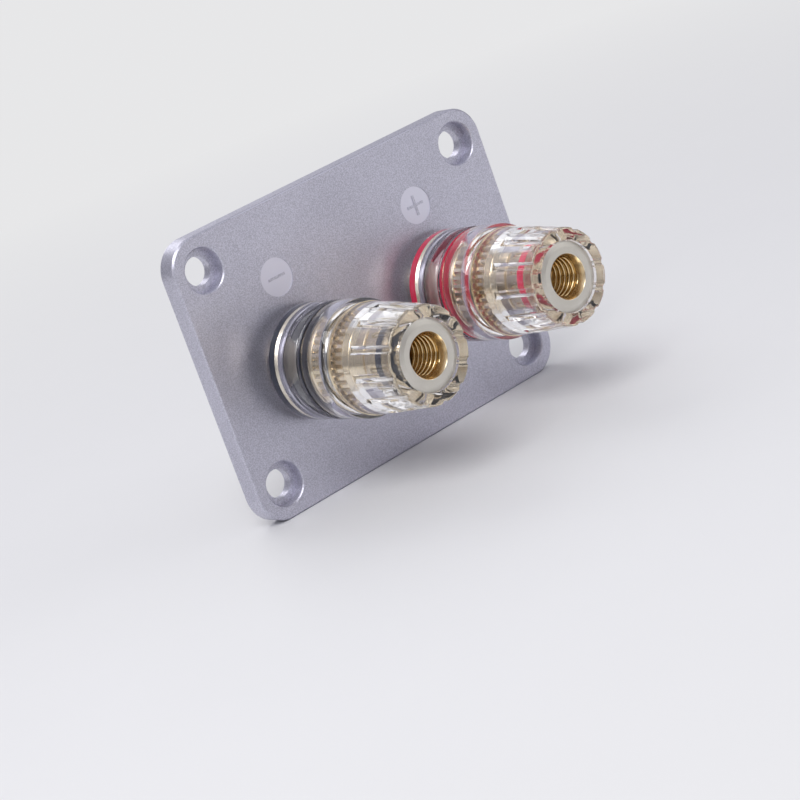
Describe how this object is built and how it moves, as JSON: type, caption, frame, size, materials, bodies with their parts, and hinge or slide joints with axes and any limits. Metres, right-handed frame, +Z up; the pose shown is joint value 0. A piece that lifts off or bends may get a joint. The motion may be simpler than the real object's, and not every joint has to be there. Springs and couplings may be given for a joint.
{
  "type": "speaker terminal plate",
  "caption": "Rounded aluminium plate with counterbored screw holes, carrying clear speaker binding posts with gold-plated cores, black and red rings, unscrewing knobs and rear nuts.",
  "frame": {"origin": "centre of the plate's back face, the face that lies on the cabinet", "axes": "+X along the plate's long side, to the right seen from the front; +Y backwards, out of the back face; +Z up the plate's short side; the posts point along -Y"},
  "size_m": [0.078, 0.0615, 0.056],
  "materials": {
    "plate_metal": "fine bead-blasted and clear anodised",
    "gold_plate": "bright gold plating",
    "nickel": "satin nickel plating",
    "clear_plastic": "clear and polished",
    "black_plastic": "smooth, dyed black",
    "red_plastic": "smooth, dyed crimson",
    "bush_plastic": "plain moulded",
    "spring_steel": "zinc plated"
  },
  "bodies": {
    "terminal": {"plate": "plate_metal", "black_stud": "gold_plate", "black_base": "clear_plastic", "black_base_ring": "black_plastic", "black_spacer": "nickel", "black_bush": "bush_plastic", "black_washer": "gold_plate", "black_spring_washer": "spring_steel", "black_nut": "gold_plate", "red_stud": "gold_plate", "red_base": "clear_plastic", "red_base_ring": "red_plastic", "red_spacer": "nickel", "red_bush": "bush_plastic", "red_washer": "gold_plate", "red_spring_washer": "spring_steel", "red_nut": "gold_plate"},
    "black_follower": {"black_clamp_ring": "black_plastic"},
    "black_knob": {"black_sleeve": "gold_plate", "black_shroud": "clear_plastic", "black_knob_ring": "black_plastic", "black_gold_band": "gold_plate"},
    "red_follower": {"red_clamp_ring": "red_plastic"},
    "red_knob": {"red_sleeve": "gold_plate", "red_shroud": "clear_plastic", "red_knob_ring": "red_plastic", "red_gold_band": "gold_plate"}
  },
  "joints": [
    {"name": "black_travel", "type": "slide", "parent": "terminal", "child": "black_follower", "axis": [0, -1, 0], "range_m": [0, 0.005]},
    {"name": "black_turn", "type": "hinge", "parent": "black_follower", "child": "black_knob", "pos_m": [-0.018, -0.0163, -0.0028], "axis": [0, -1, 0], "range_deg": [0, 1440]},
    {"name": "red_travel", "type": "slide", "parent": "terminal", "child": "red_follower", "axis": [0, -1, 0], "range_m": [0, 0.005]},
    {"name": "red_turn", "type": "hinge", "parent": "red_follower", "child": "red_knob", "pos_m": [0.018, -0.0163, -0.0028], "axis": [0, -1, 0], "range_deg": [0, 1440]}
  ],
  "couplings": [
    {"joint": "black_turn", "follows": "black_travel", "rad_per_m": 5026.5},
    {"joint": "red_turn", "follows": "red_travel", "rad_per_m": 5026.5}
  ]
}
